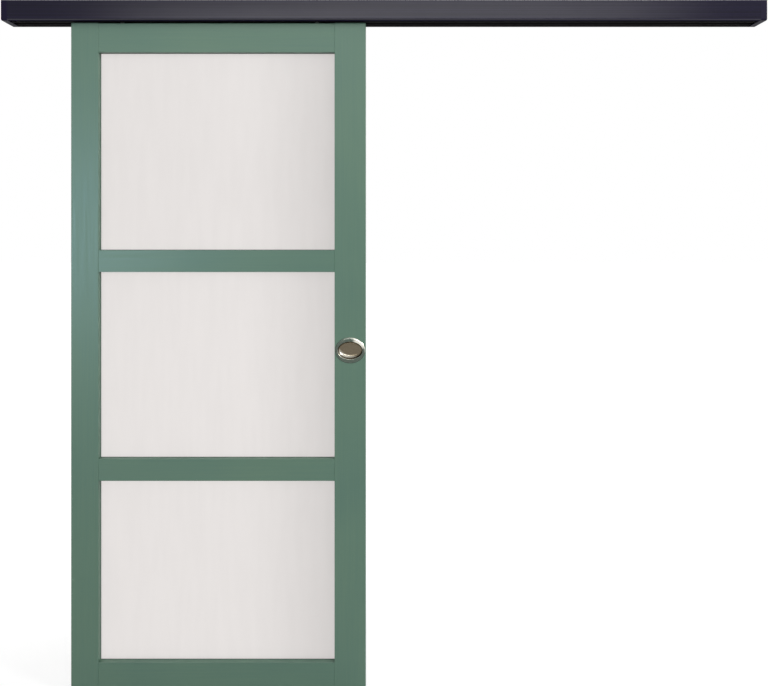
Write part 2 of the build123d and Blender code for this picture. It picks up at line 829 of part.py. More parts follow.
with BuildPart() as plate_screws:
    for centre in carriages.values():
        with Locations((centre, leaf_middle, leaf_top)):
            with GridLocations(plate_screw_spacing_x, plate_screw_spacing_y, 2, 2):
                add(plate_screw.part)
keep(plate_screws, "plate_screws")

# Guide channel in the leaf's lower edge, and the floor guide

with BuildPart() as guide_channel:
    with BuildSketch(Plane.YZ.offset(leaf_left)):
        with Locations((leaf_middle, leaf_bottom + guide_groove_depth / 2)):
            Rectangle(guide_channel_width, guide_groove_depth)
        with Locations((leaf_middle, leaf_bottom + guide_channel_room / 2)):
            Rectangle(guide_channel_width - 2 * guide_channel_wall, guide_channel_room, mode=Mode.SUBTRACT)
    extrude(amount=leaf_width)
keep(guide_channel, "guide_channel")

fin_top = leaf_bottom + guide_channel_room - guide_fin_top_clearance

with BuildPart() as floor_guide:
    with BuildSketch(Plane.XY):
        with Locations((guide_centre, leaf_middle)):
            RectangleRounded(guide_base_length, guide_base_width, guide_base_radius)
    extrude(amount=guide_base_thickness)
    with BuildSketch(Plane.YZ.offset(guide_centre - guide_fin_length / 2)) as fin:
        with Locations((leaf_middle, (guide_base_thickness + fin_top) / 2)):
            Rectangle(guide_fin_thickness, fin_top - guide_base_thickness)
        fillet(fin.vertices().group_by(Axis.Y)[-1], radius=guide_fin_round)
    extrude(amount=guide_fin_length)
    feet = floor_guide.edges().filter_by(Axis.X).filter_by(
        lambda e: abs(e.center().Z - guide_base_thickness) < guide_foot_radius
        and abs(abs(e.center().Y - leaf_middle) - guide_fin_thickness / 2) < guide_foot_radius
    )
    fillet(feet, radius=guide_foot_radius)
    with Locations((guide_centre, leaf_middle, guide_base_thickness)):
        with GridLocations(guide_hole_spacing, 1, 2, 1):
            Hole(guide_hole_diameter / 2, depth=guide_base_thickness)
keep(floor_guide, "floor_guide")
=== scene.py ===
# %% [markdown]
# # A glazed sliding door, dressed for its picture
# The door is already built as solids: a leaf, a wall track, wheels and a floor guide. This file
# gives each of those pieces its finish, models the small hardware that was left for this step, and
# sets up a camera and a few soft lamps. Every size is in metres, and every piece stays where the
# solids say, so nothing has to be fitted by eye.

import math

import bpy
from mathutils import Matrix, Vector


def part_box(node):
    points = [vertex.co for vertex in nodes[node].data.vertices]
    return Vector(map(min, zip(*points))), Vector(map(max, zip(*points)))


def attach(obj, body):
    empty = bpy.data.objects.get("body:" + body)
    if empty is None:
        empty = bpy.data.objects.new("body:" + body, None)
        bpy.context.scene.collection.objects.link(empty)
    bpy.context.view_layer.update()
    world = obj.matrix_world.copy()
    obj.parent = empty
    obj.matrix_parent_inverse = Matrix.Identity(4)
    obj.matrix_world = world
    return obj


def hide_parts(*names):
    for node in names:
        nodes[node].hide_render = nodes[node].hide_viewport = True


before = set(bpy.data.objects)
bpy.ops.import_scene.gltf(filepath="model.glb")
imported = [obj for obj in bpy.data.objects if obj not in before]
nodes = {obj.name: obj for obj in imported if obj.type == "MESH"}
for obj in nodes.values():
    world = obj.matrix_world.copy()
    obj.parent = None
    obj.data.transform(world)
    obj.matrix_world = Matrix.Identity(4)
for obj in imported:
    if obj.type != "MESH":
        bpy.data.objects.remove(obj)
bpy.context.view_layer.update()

# %% [markdown]
# ## Where things are
# The leaf's edges and its two faces are read from the boxes of its stiles, the upright members at
# its left and right. They could be typed in as numbers, but read like this they still fit if the
# door is ever made in another size.

# %% Places read from the solids
left_stile_low, left_stile_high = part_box("left_stile")
right_stile_low, right_stile_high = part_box("right_stile")
leaf_left = left_stile_low.x
leaf_right = right_stile_high.x
leaf_front = left_stile_low.y
leaf_back = left_stile_high.y
leaf_width = leaf_right - leaf_left
leaf_height = left_stile_high.z - left_stile_low.z
print("leaf:", round(leaf_width, 3), "by", round(leaf_height, 3))

# %% [markdown]
# ## Helpers for materials
# Every finish here is a small tree of nodes, and building a tree takes the same steps each time:
# make a material, add nodes, link them. A few short functions keep those steps out of the way. One
# more turns a colour as an eye reads it off a screen into the light values that shaders mix.


# %% Helpers for nodes
def new_material(name):
    """An empty material with its node tree, and the tree's final output node."""
    material = bpy.data.materials.new(name)
    material.use_nodes = True
    tree = material.node_tree
    tree.nodes.clear()
    output = tree.nodes.new("ShaderNodeOutputMaterial")
    return material, tree, output


def add_node(tree, kind, **settings):
    """A new node. Settings that name one of its sockets go there, and the rest are properties."""
    node = tree.nodes.new(kind)
    for key, value in settings.items():
        label = key.replace("_", " ")
        if label in node.inputs:
            node.inputs[label].default_value = value
        else:
            setattr(node, key, value)
    return node


def feed(tree, socket, value):
    """Links another node's output to a socket, or sets the socket if the value is a plain one."""
    if isinstance(value, bpy.types.NodeSocket):
        tree.links.new(value, socket)
    else:
        socket.default_value = value


def linear(red, green, blue):
    """A colour as picked on a screen, 0 to 255, as the light values that shaders use."""

    # The numbers are those that define how a screen turns its signal into light.
    def channel(value):
        share = value / 255
        return share / 12.92 if share <= 0.04045 else ((share + 0.055) / 1.055) ** 2.4

    return (channel(red), channel(green), channel(blue), 1)


print("a screen's middle grey as light:", round(linear(128, 128, 128)[0], 3))


# %% Helpers for sums with nodes
def calculate(tree, operation, *values, clamp=False):
    """The number that a Math node makes of its values."""
    node = add_node(tree, "ShaderNodeMath", operation=operation, use_clamp=clamp)
    for socket, value in zip(node.inputs, values):
        feed(tree, socket, value)
    return node.outputs[0]


def calculate_vector(tree, operation, *values):
    """What a Vector Math node makes of its values: a number for lengths and dot products."""
    node = add_node(tree, "ShaderNodeVectorMath", operation=operation)
    for socket, value in zip(node.inputs, values):
        feed(tree, socket, value)
    gives_number = operation in ("LENGTH", "DOT_PRODUCT")
    return node.outputs["Value" if gives_number else "Vector"]


def ranged(tree, value, start, end, low=0.0, high=1.0, **settings):
    """Goes from low to high while the value goes from start to end, and stays there beyond."""
    spread = add_node(
        tree,
        "ShaderNodeMapRange",
        From_Min=start,
        From_Max=end,
        To_Min=low,
        To_Max=high,
        **settings,
    )
    tree.links.new(value, spread.inputs["Value"])
    return spread.outputs[0]


def own_coordinates(tree, kind="Object"):
    """Where a point lies on its piece or, with Normal as the kind, which way its face looks."""
    return add_node(tree, "ShaderNodeTexCoord").outputs[kind]


def along_axis(tree, vector, axis):
    """One of a vector's three numbers."""
    parts = add_node(tree, "ShaderNodeSeparateXYZ")
    tree.links.new(vector, parts.inputs[0])
    return parts.outputs[axis]


def any_of(tree, *switches):
    """One where any of these switches is on, else zero."""
    total, *others = switches
    for switch in others:
        total = calculate(tree, "ADD", total, switch, clamp=True)
    return total


def seen_directly(tree):
    """One for the camera's own rays and for those that a mirror or glass sends on, else zero."""
    path = add_node(tree, "ShaderNodeLightPath")
    ways = ("Is Camera Ray", "Is Glossy Ray", "Is Transmission Ray")
    return any_of(tree, *[path.outputs[way] for way in ways])


print("node helpers ready")

# %% [markdown]
# ## The floor
# The door stands in an empty white studio. A cloth that curves up behind it would do for a floor,
# but one large flat sheet is simpler. Far off, the sheet is plain light to the camera, so that it
# melts into the white behind it. In an oval below the track, half of it stays matt paint, which
# keeps the soft shadow of the leaf, wherever the leaf is slid to. Seen through a pane, the whole
# floor counts as far off, or the lowest pane would be dark at its foot.

# %% The studio floor
floor_size = 60.0
white = (1, 1, 1, 1)
matt_white = (0.8, 0.8, 0.8, 1)
matt_share = 0.5
oval_slimness = 0.3
matt_reach = 0.35
lit_reach = 1.0
near_light = 1.38
far_light = 1.08


def studio_floor_material():
    """Half matt below the door and plain light far off. Through glass, plain light all over."""
    material, tree, output = new_material("studio_floor")
    matt = add_node(tree, "ShaderNodeBsdfDiffuse", Color=matt_white)
    light = add_node(tree, "ShaderNodeEmission", Color=white)
    blend = add_node(tree, "ShaderNodeMixShader")
    through_glass = add_node(tree, "ShaderNodeLightPath").outputs["Is Transmission Ray"]
    oval = calculate_vector(tree, "MULTIPLY", own_coordinates(tree), (oval_slimness, 1, 1))
    away = calculate_vector(tree, "LENGTH", oval)
    farther = calculate(tree, "MULTIPLY_ADD", through_glass, lit_reach, away)
    lit = ranged(tree, farther, matt_reach, lit_reach, 1 - matt_share, 1.0)
    strength = ranged(tree, farther, matt_reach, lit_reach, near_light, far_light)
    tree.links.new(strength, light.inputs["Strength"])
    tree.links.new(calculate(tree, "MULTIPLY", lit, seen_directly(tree)), blend.inputs[0])
    tree.links.new(matt.outputs[0], blend.inputs[1])
    tree.links.new(light.outputs[0], blend.inputs[2])
    tree.links.new(blend.outputs[0], output.inputs["Surface"])
    return material


bpy.ops.object.select_all(action="DESELECT")
bpy.ops.mesh.primitive_plane_add(size=floor_size, location=(0, 0, 0))
studio_floor = bpy.context.object
studio_floor.name = "studio_floor"
studio_floor.data.materials.append(studio_floor_material())
print("floor:", studio_floor.name, floor_size, "m wide")

# %% [markdown]
# ## The camera
# The photograph was taken square to the door. Its upright lines stay parallel although the lens is
# well above the picture's middle, so the camera is level at eye height and its film is shifted
# down. A camera tilted down would show the same part of the door, but its uprights would lean. The
# distance comes from how much of each pane's reveal shows, and the scale from the leaf's real width
# over its width in the picture. An unturned camera looks straight down, and a quarter turn levels
# it.

# %% The camera
image_width = 768
image_height = 686
metres_per_pixel = 0.003054
camera_distance = 2.3
eye_level = 1.4175
horizon_row = 230
film_width = 0.036
millimetres = 1000
quarter_turn = math.radians(90)

focal_pixels = camera_distance / metres_per_pixel
camera_data = bpy.data.cameras.new("camera")
camera_data.sensor_width = film_width * millimetres
camera_data.lens = focal_pixels * camera_data.sensor_width / image_width
camera_data.shift_y = -(image_height / 2 - horizon_row) / image_width
camera = bpy.data.objects.new("camera", camera_data)
camera.location = (0, leaf_front - camera_distance, eye_level)
camera.rotation_euler = (quarter_turn, 0, 0)
bpy.context.scene.collection.objects.link(camera)
bpy.context.scene.camera = camera
print("lens:", round(camera_data.lens, 2), "mm, shift:", round(camera_data.shift_y, 3))

# %% [markdown]
# ## Lamps
# A photographer would light a door with soft boxes, and area lamps do the same here. A wide one
# above the camera lights the leaf from the front and leaves the long highlight on the pelmet, which
# is bright in the middle and gone at the ends because the lamp is an oval. A hard one, high on the
# right, makes thin glints on the finger pull's rim and cup, which painted highlights widen. One
# behind keeps the door's back from going grey. A small cool one stands where the left stile mirrors
# it, like a window. Only its sheen
# is wanted, so it gives no diffuse light, and light linking keeps it to the painted members. Rays
# that come through glass don't hit any lamp, so no more than a soft glow of one shows in a pane.

# %% Lamps
lamp_target = (-0.3, 0.0, 1.2)
cool_white = (0.55, 0.82, 1.0)
painted_endings = ("stile", "rail")


def softbox(name, place, width, height, power, colour=(1, 1, 1)):
    """An oval lamp that faces the door. Rays that come through glass don't hit it."""
    data = bpy.data.lights.new(name, "AREA")
    data.shape = "ELLIPSE"
    data.size = width
    data.size_y = height
    data.energy = power
    data.color = colour
    lamp = bpy.data.objects.new(name, data)
    lamp.location = place
    aim = Vector(lamp_target) - Vector(place)
    lamp.rotation_euler = aim.to_track_quat("-Z", "Y").to_euler()
    lamp.visible_transmission = False
    bpy.context.scene.collection.objects.link(lamp)
    return lamp


softbox("lamp_above_camera", place=(0.0, -3.0, 2.86), width=4.2, height=0.28, power=28.5)
window = softbox(
    "lamp_window",
    place=(-1.82, -2.35, 1.4),
    width=0.4,
    height=0.9,
    power=31.0,
    colour=cool_white,
)
window.visible_diffuse = False
lit_by_window = bpy.data.collections.new("lit_by_window")
for name, solid in nodes.items():
    if name.endswith(painted_endings):
        lit_by_window.objects.link(solid)
window.light_linking.receiver_collection = lit_by_window
softbox("lamp_glint", place=(4.4, -2.7, 3.9), width=1.2, height=0.9, power=110.0)
softbox("lamp_behind", place=(1.2, 2.2, 4.6), width=2.4, height=1.6, power=60.0)

# %% [markdown]
# ## The sky
# An empty white room shines on the door from everywhere. Walls and a ceiling would do that too, but
# a sky of one colour is simpler and renders faster. The camera, mirrors and glass see it as pure
# white, but as a light it is kept weaker, or it would wash out the lamps' soft shading.

# %% The sky
sky_on_door = 0.44
sky_seen = 1.0

world = bpy.data.worlds.new("white_studio")
bpy.context.scene.world = world
world.use_nodes = True
sky = world.node_tree
sky.nodes.clear()
sky_output = add_node(sky, "ShaderNodeOutputWorld")
sky_light = add_node(sky, "ShaderNodeBackground", Color=white)
sky_strength = ranged(sky, seen_directly(sky), 0.0, 1.0, sky_on_door, sky_seen)
sky.links.new(sky_strength, sky_light.inputs["Strength"])
sky.links.new(sky_light.outputs[0], sky_output.inputs["Surface"])
bpy.context.scene.view_settings.view_transform = "Standard"
print("sky on the door:", sky_on_door)

# %% [markdown]
# ## Uneven surfaces
# No real finish has one flat colour. Pictures of real surfaces could be laid over the pieces, but
# they repeat and have to be fitted round every edge. Noise never repeats and needs no fitting. These
# helpers lay it over a piece in its own coordinates, and use it three ways: to drift between two
# near tones, to vary the gloss, and as slight relief. Drawing the noise out along one axis turns it
# into brush strokes or grinding lines.

# %% Helpers for uneven surfaces
no_stretch = (1, 1, 1)
tone_band = (0.35, 0.65)
value_band = (0.3, 0.7)


def stretched_noise(tree, stretch, scale=1.0, detail=4.0, roughness=0.55):
    """Noise on the piece's own coordinates, drawn out along the axes where stretch is small."""
    mapping = add_node(tree, "ShaderNodeMapping", Scale=stretch)
    noise = add_node(tree, "ShaderNodeTexNoise", Scale=scale, Detail=detail, Roughness=roughness)
    tree.links.new(own_coordinates(tree), mapping.inputs["Vector"])
    tree.links.new(mapping.outputs["Vector"], noise.inputs["Vector"])
    return noise.outputs["Fac"]


def two_tones(tree, noise, dark, light):
    """A colour between two near tones, driven by a noise."""
    ramp = add_node(tree, "ShaderNodeValToRGB")
    for stop, position, colour in zip(ramp.color_ramp.elements, tone_band, (dark, light)):
        stop.position = position
        stop.color = colour
    tree.links.new(noise, ramp.inputs["Fac"])
    return ramp.outputs["Color"]


def value_range(tree, noise, low, high):
    """A number between low and high, driven by a noise."""
    return ranged(tree, noise, *value_band, low, high)


def bump(tree, noise, strength, height):
    """Small relief from a noise, height metres deep at most."""
    relief = add_node(tree, "ShaderNodeBump", Strength=strength, Distance=height)
    tree.links.new(noise, relief.inputs["Height"])
    return relief.outputs[0]


print("noise helpers ready, tones between", *tone_band)

# %% [markdown]
# ## Green paint
# The frame is painted a greyed green with a satin enamel. Rolled and laid-off paint is never quite
# even: the brush's last strokes run along each member, and the colour drifts a little over a metre.
# Both come from noise. Rails and stiles need their strokes in different directions, so the same
# recipe is made twice, which is simpler than turning one pattern on each piece.

# %% Green paint
paint_dark = linear(86, 119, 104)
paint_light = linear(96, 127, 107)
paint_roughness = (0.39, 0.49)
paint_refraction = 1.45
drift_scale = 2.2
stroke_across = 300.0
stroke_along = 5.0
stroke_share = 0.35
stroke_relief = 0.25
stroke_height = 0.0004


def green_paint(name, stretch):
    """Satin enamel with its strokes along the axis where stretch is small."""
    material, tree, output = new_material(name)
    shader = add_node(tree, "ShaderNodeBsdfPrincipled", IOR=paint_refraction)
    drift = stretched_noise(tree, no_stretch, drift_scale, detail=2.0)
    strokes = stretched_noise(tree, stretch, detail=3.0)
    both = add_node(tree, "ShaderNodeMix", data_type="FLOAT", Factor=stroke_share)
    tree.links.new(drift, both.inputs["A"])
    tree.links.new(strokes, both.inputs["B"])
    tone = two_tones(tree, both.outputs[0], paint_dark, paint_light)
    tree.links.new(tone, shader.inputs["Base Color"])
    tree.links.new(value_range(tree, strokes, *paint_roughness), shader.inputs["Roughness"])
    tree.links.new(bump(tree, strokes, stroke_relief, stroke_height), shader.inputs["Normal"])
    tree.links.new(shader.outputs[0], output.inputs["Surface"])
    return material


upright_paint = green_paint("green_paint_upright", (stroke_across, stroke_across, stroke_along))
level_paint = green_paint("green_paint_level", (stroke_along, stroke_across, stroke_across))
print("paints:", upright_paint.name, level_paint.name)

# %% [markdown]
# ## Frosted glass
# The panes are opal: they glow evenly and show nothing of what is behind. Milk inside the sheet
# could be modelled as a volume, but that is slow to render. Here an etched face scatters the light
# that comes through, and the sheet is slightly warm. Most of its light comes from the white room
# behind the door, so it is mainly transmission. A painted shade darkens the panes slowly towards
# the right, and faint upright streaks keep the large panes from looking like card.

# %% Frosted glass
glass_dark = linear(233, 229, 227)
glass_light = linear(236, 232, 230)
glass_roughness = (0.42, 0.48)
glass_refraction = 1.45
glass_clearness = 0.92
glass_shine = 0.05
# The panes' right side gets painted shade: from fade_start on, the tone drops to this share.
glass_shade_at_right = 0.805
even_part = 0.55
fade_start = leaf_left + even_part * leaf_width
fade_end = leaf_right
streak_stretch = (45, 45, 5)
etching_scale = 1600.0
etching_relief = 0.05
etching_height = 0.0001


def fade_across(tree, colour, start, end, share):
    """A colour that keeps its full value up to x = start and only a share of it from x = end on."""
    sideways = along_axis(tree, own_coordinates(tree), "X")
    fade = ranged(tree, sideways, start, end, 1.0, share, interpolation_type="SMOOTHSTEP")
    dimmed = add_node(tree, "ShaderNodeVectorMath", operation="SCALE")
    tree.links.new(colour, dimmed.inputs[0])
    tree.links.new(fade, dimmed.inputs["Scale"])
    return dimmed.outputs["Vector"]


def frosted_glass():
    """Milky glass with an etched face."""
    material, tree, output = new_material("frosted_glass")
    shader = add_node(
        tree,
        "ShaderNodeBsdfPrincipled",
        IOR=glass_refraction,
        Transmission_Weight=glass_clearness,
        Specular_IOR_Level=glass_shine,
    )
    streaks = stretched_noise(tree, streak_stretch, detail=3.0)
    grain = stretched_noise(tree, no_stretch, etching_scale, detail=1.0)
    tone = two_tones(tree, streaks, glass_dark, glass_light)
    # Painted shade: the tone darkens towards the right.
    tone_with_painted_shade = fade_across(tree, tone, fade_start, fade_end, glass_shade_at_right)
    tree.links.new(tone_with_painted_shade, shader.inputs["Base Color"])
    tree.links.new(value_range(tree, streaks, *glass_roughness), shader.inputs["Roughness"])
    tree.links.new(bump(tree, grain, etching_relief, etching_height), shader.inputs["Normal"])
    tree.links.new(shader.outputs[0], output.inputs["Surface"])
    return material


pane_glass = frosted_glass()
print("glass:", pane_glass.name, "fades from", round(fade_start, 3), "to", round(fade_end, 3))

# %% [markdown]
# ## Dark anodised aluminium
# The pelmet is brushed along its length and anodised nearly black, with a trace of violet. A bare
# metal shader would mirror the white room and look grey. So the dyed layer is a plain dark base,
# which keeps its tone, and the clear seal on top of it is a coat, whose highlight the brushed lines
# spread out. The seal gathers on rounded edges, which is why they gleam, and undersides stay dull.
# So its share follows how far a face turns from the front.

# %% Dark anodised aluminium
anodised_dark = linear(11, 8, 28)
anodised_light = linear(25, 20, 48)
seal_share = 0.37
edge_seal_share = 1.0
edge_starts_at = 0.995
edge_full_at = 0.93
underside_up_to = 0.3
front_from = 0.6
seal_roughness = (0.18, 0.22)
seal_drift = (1.2, 6, 6)
brushed_lines = (0.8, 500, 500)
line_relief = 0.06
line_height = 0.0001


def clear_seal(tree):
    """How much seal a face has: some in front, more on rounded edges and none on undersides."""
    looking = along_axis(tree, own_coordinates(tree, "Normal"), "Y")
    squarely = calculate(tree, "ABSOLUTE", looking)
    seal = ranged(tree, squarely, edge_starts_at, edge_full_at, seal_share, edge_seal_share)
    off_undersides = ranged(tree, squarely, underside_up_to, front_from)
    return calculate(tree, "MULTIPLY", seal, off_undersides)


def anodised_aluminium():
    """Brushed and anodised nearly black, with lines along the extrusion."""
    material, tree, output = new_material("dark_anodised")
    shader = add_node(tree, "ShaderNodeBsdfPrincipled", Specular_IOR_Level=0.0)
    lines = stretched_noise(tree, brushed_lines, detail=5.0, roughness=0.7)
    drift = stretched_noise(tree, seal_drift, detail=2.0)
    tone = two_tones(tree, lines, anodised_dark, anodised_light)
    tree.links.new(tone, shader.inputs["Base Color"])
    tree.links.new(clear_seal(tree), shader.inputs["Coat Weight"])
    tree.links.new(value_range(tree, drift, *seal_roughness), shader.inputs["Coat Roughness"])
    tree.links.new(bump(tree, lines, line_relief, line_height), shader.inputs["Coat Normal"])
    tree.links.new(shader.outputs[0], output.inputs["Surface"])
    return material


dark_anodised = anodised_aluminium()
print("metal:", dark_anodised.name)

# %% [markdown]
# ## The smaller finishes
# The rest are one recipe with other numbers: a base in two near tones, a gloss that varies a
# little, and a relief at the scale of the real surface, from cast zinc's pebbles to nylon's haze. A
# tree of its own for each would be longer and look no better, because these pieces are small or
# lie in the shade. The track is one of them: it is anodised too, a duller grey, nearly black.

# %% A general finish
grain_relief = 0.3
fine_grain = 0.0001
coarse_grain = 0.0002
drawn_lines = (0.8, 450, 450)
wood_fibres = (6, 240, 240)


def plain_finish(
    name,
    dark,
    light,
    roughness,
    grain=1.0,
    stretch=no_stretch,
    depth=fine_grain,
    metallic=0.0,
    shine=0.5,
):
    """A finish in two near tones, with its gloss and relief from one noise."""
    material, tree, output = new_material(name)
    shader = add_node(
        tree, "ShaderNodeBsdfPrincipled", Metallic=metallic, Specular_IOR_Level=shine
    )
    noise = stretched_noise(tree, stretch, grain)
    tone = two_tones(tree, noise, linear(*dark), linear(*light))
    tree.links.new(tone, shader.inputs["Base Color"])
    tree.links.new(value_range(tree, noise, *roughness), shader.inputs["Roughness"])
    tree.links.new(bump(tree, noise, grain_relief, depth), shader.inputs["Normal"])
    tree.links.new(shader.outputs[0], output.inputs["Surface"])
    return material


print("grain depth in millimetres:", fine_grain * millimetres, "to", coarse_grain * millimetres)

# %% Plastic, rubber, metal and wood
cap_plastic = plain_finish(
    "cap_plastic", (18, 13, 38), (24, 18, 44), roughness=(0.5, 0.6), grain=900, shine=0.12
)
grey_anodised = plain_finish(
    "grey_anodised",
    (22, 20, 23),
    (30, 28, 31),
    roughness=(0.45, 0.55),
    stretch=drawn_lines,
    shine=0.1,
)
glazing_rubber = plain_finish(
    "glazing_rubber", (36, 42, 38), (44, 50, 46), roughness=(0.6, 0.75), grain=700
)
buffer_rubber = plain_finish(
    "buffer_rubber", (30, 30, 30), (38, 38, 38), roughness=(0.65, 0.8), grain=700
)
zinc_steel = plain_finish(
    "zinc_steel", (170, 172, 176), (188, 190, 192), roughness=(0.25, 0.4), grain=260, metallic=1.0
)
cast_zinc = plain_finish(
    "cast_zinc",
    (138, 140, 143),
    (152, 154, 156),
    roughness=(0.45, 0.6),
    grain=900,
    depth=coarse_grain,
    metallic=1.0,
)
wheel_nylon = plain_finish(
    "wheel_nylon", (222, 219, 208), (230, 228, 218), roughness=(0.35, 0.5), grain=500
)
guide_nylon = plain_finish(
    "guide_nylon", (38, 38, 41), (46, 46, 49), roughness=(0.4, 0.55), grain=800
)
mill_aluminium = plain_finish(
    "mill_aluminium",
    (184, 187, 190),
    (200, 202, 204),
    roughness=(0.3, 0.42),
    stretch=drawn_lines,
    metallic=1.0,
)
beech = plain_finish(
    "beech",
    (186, 146, 104),
    (206, 168, 126),
    roughness=(0.55, 0.7),
    stretch=wood_fibres,
    depth=coarse_grain,
)
print("materials:", len(bpy.data.materials))

# %% [markdown]
# ## Dark nickel, with painted highlights
# The finger pulls are plated a dark brown nickel. The rim, where it stands proud of the paint, has a
# greyer green tone, which is a painted reflection of the green paint around it. A painted highlight
# lies low in the cup, where the wall faces up and to the right, and a painted glint on the corner of
# the rim across from there. A painted mask could show that, but it would have to be painted again
# for any other pull. So the tone follows how far forward a point lies. The highlights follow how a
# face leans in the cup, and the way from the pull's middle on the rim, with noise to keep them
# uneven.

# %% Where a pull gets its painted highlights
leaf_middle = (leaf_front + leaf_back) / 2
half_thickness = (leaf_back - leaf_front) / 2
rim_blend = 0.0006
pull_low, pull_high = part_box("front_pull")
pull_middle = (pull_low + pull_high) / 2
pull_reach = (pull_high - pull_low) / 2
# The painted glint sits on this corner of the rim, and the painted highlight on cup walls that lean
# this way.
glint_corner = (0.74, 0.0, 0.67)
corner_starts = 0.8
corner_full = 0.98
highlight_side = (0.62, 0.0, 0.78)
highlight_starts = 0.2
highlight_full = 0.85
highlight_unevenness = 0.3


def on_the_rim(tree):
    """One outside the leaf's two faces, where a pull's rim is, and zero down in its cup."""
    forward = along_axis(tree, own_coordinates(tree), "Y")
    depth = calculate(tree, "ABSOLUTE", calculate(tree, "SUBTRACT", forward, leaf_middle))
    return ranged(tree, depth, half_thickness - rim_blend, half_thickness + rim_blend)


def on_glint_corner(tree):
    """One on the rim's upper right corner, where the painted glint goes, and zero along the rest of
    the oval.
    """
    outwards = calculate_vector(tree, "SUBTRACT", own_coordinates(tree), pull_middle)
    oval_to_circle = (1 / pull_reach.x, 0, 1 / pull_reach.z)
    round_form = calculate_vector(tree, "MULTIPLY", outwards, oval_to_circle)
    direction = calculate_vector(tree, "NORMALIZE", round_form)
    leaning = calculate_vector(tree, "DOT_PRODUCT", direction, glint_corner)
    near = ranged(tree, leaning, corner_starts, corner_full)
    return calculate(tree, "MULTIPLY", near, on_the_rim(tree))


def painted_highlight_share(tree, haze):
    """One where the pull gets its painted highlights, zero where it doesn't, and uneven in between.
    """
    leaning = calculate_vector(
        tree, "DOT_PRODUCT", own_coordinates(tree, "Normal"), highlight_side
    )
    in_cup = ranged(tree, leaning, highlight_starts, highlight_full)
    highlighted = any_of(tree, in_cup, on_glint_corner(tree))
    uneven = calculate(tree, "MULTIPLY_ADD", haze, highlight_unevenness, highlighted)
    return ranged(tree, uneven, highlight_unevenness / 2, 1.0)


print("pull:", [round(side, 4) for side in pull_high - pull_low])

# %% Dark nickel with painted highlights
nickel_in_cup = linear(104, 95, 79)
# The rim's greener tone is a painted reflection of the green paint.
nickel_rim_painted_reflection = linear(84, 94, 86)
# The bright tone is a painted highlight.
nickel_painted_highlight = linear(226, 224, 212)
nickel_roughness = (0.2, 0.26)
haze_scale = 400.0


def mixed(tree, share, first, second):
    """The first colour where share is zero and the second where it is one."""
    blend = add_node(tree, "ShaderNodeMix", data_type="RGBA")
    tree.links.new(share, blend.inputs["Factor"])
    slots = [socket for socket in blend.inputs if socket.type == "RGBA"]
    for slot, colour in zip(slots, (first, second)):
        feed(tree, slot, colour)
    return next(socket for socket in blend.outputs if socket.type == "RGBA")


def nickel_with_painted_highlights():
    """Dark nickel, with a painted reflection of the green paint on the rim, and painted highlights.
    """
    material, tree, output = new_material("nickel_with_painted_highlights")
    shader = add_node(tree, "ShaderNodeBsdfPrincipled", Metallic=1.0)
    haze = stretched_noise(tree, no_stretch, haze_scale)
    # The rim gets a painted reflection of the green paint.
    tone_with_rim_reflection = mixed(tree, on_the_rim(tree), nickel_in_cup, nickel_rim_painted_reflection)
    # Painted highlights go where the mask is on.
    colour = mixed(tree, painted_highlight_share(tree, haze), tone_with_rim_reflection, nickel_painted_highlight)
    tree.links.new(colour, shader.inputs["Base Color"])
    tree.links.new(value_range(tree, haze, *nickel_roughness), shader.inputs["Roughness"])
    tree.links.new(shader.outputs[0], output.inputs["Surface"])
    return material


pull_nickel = nickel_with_painted_highlights()
print("pulls:", pull_nickel.name)

# %% [markdown]
# ## Give every solid its finish
# Three short tables name the finish of each piece, by its whole name, its last word or its first
# words. A line of code for each piece would do the same, but a table is easier to check. A name
# that is missing from all three would stop the script, so no piece can be forgotten.

# %% Dress the solids
by_whole_name = {
    "rail_dowels": beech,
    "guide_channel": mill_aluminium,
    "floor_guide": guide_nylon,
    "pelmet": dark_anodised,
    "track": grey_anodised,
}
by_last_word = {
    "stile": upright_paint,
    "rail": level_paint,
    "glass": pane_glass,
    "gasket": glazing_rubber,
    "pull": pull_nickel,
    "wheel": wheel_nylon,
}
by_first_words = {
    "end_cap": cap_plastic,
    "stop_buffer": buffer_rubber,
    "stop_screws": zinc_steel,
    "stop_left": mill_aluminium,
    "stop_right": mill_aluminium,
    "carriage": cast_zinc,
    "hanger": zinc_steel,
    "axles": zinc_steel,
    "lock_nuts": zinc_steel,
    "plate_screws": zinc_steel,
}


def finish_of(name):
    """The finish of a solid, by its whole name, its last word or its first words."""
    if name in by_whole_name:
        return by_whole_name[name]
    for ending, material in by_last_word.items():
        if name.endswith(ending):
            return material
    for beginning, material in by_first_words.items():
        if name.startswith(beginning):
            return material
    raise KeyError(name)


for name, solid in nodes.items():
    solid.data.materials.clear()
    solid.data.materials.append(finish_of(name))
print("dressed:", len(nodes))

# %% [markdown]
# ## Nothing shows through the panes
# Opal glass scatters light so well that even the frame behind it leaves no trace, and a pane is as
# bright at its edge as in its middle. Rougher glass would blur the frame but not hide it, and the
# etched glass here still shows the frame's back half as a grey band. So the rays that come through
# a pane pass the frame by.

# %% Keep the frame out of the panes
frame_endings = (*painted_endings, "gasket")

framing = [solid for name, solid in nodes.items() if name.endswith(frame_endings)]
for solid in framing:
    solid.visible_transmission = False
print("not seen through the panes:", len(framing))

# %% [markdown]
# ## Helpers for modelling
# The hardware below is made from primitives, as it would be by hand: add a shape at its real size,
# pick some of its corners in edit mode, and push them. Operators work on whatever is selected, so
# the selection is cleared before a shape is added, and each helper selects its own piece first.


# %% Helpers for selecting
def deselect_all():
    """Clears the selection, so that the next operator touches only what it should."""
    bpy.ops.object.select_all(action="DESELECT")


def select_only(*pieces):
    """Selects these pieces and no others, and makes the first of them the active one."""
    deselect_all()
    for piece in pieces:
        piece.select_set(True)
    bpy.context.view_layer.objects.active = pieces[0]


def every_point(point):
    """A test that each corner passes."""
    return True


